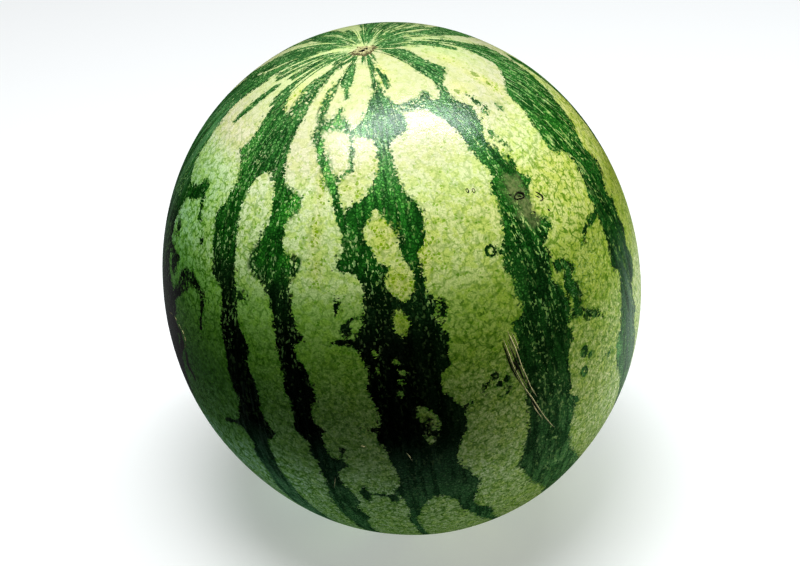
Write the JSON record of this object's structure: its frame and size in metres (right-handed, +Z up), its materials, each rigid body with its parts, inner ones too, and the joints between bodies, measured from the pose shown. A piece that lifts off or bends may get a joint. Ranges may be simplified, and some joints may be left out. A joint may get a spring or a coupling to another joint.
{
  "type": "watermelon",
  "caption": "Whole round-oval striped watermelon with a corky blossom scar on top and a stem stub in a dimple below, standing on a small flat spot.",
  "frame": {"origin": "on the resting plane, under the middle of the fruit's box", "axes": "+Z up, close to the stem line with the blossom end on top; the blossom end leans towards -X; the side seen from the front faces -Y"},
  "size_m": [0.2506, 0.2505, 0.2735],
  "materials": {
    "rind": "waxy satin rind: dark green jagged stripes on a yellow-green ground",
    "scar_cork": "matte dry corky skin of the blossom scar, scratches and stem stub"
  },
  "bodies": {
    "root": {"watermelon": "rind"}
  },
  "joints": []
}
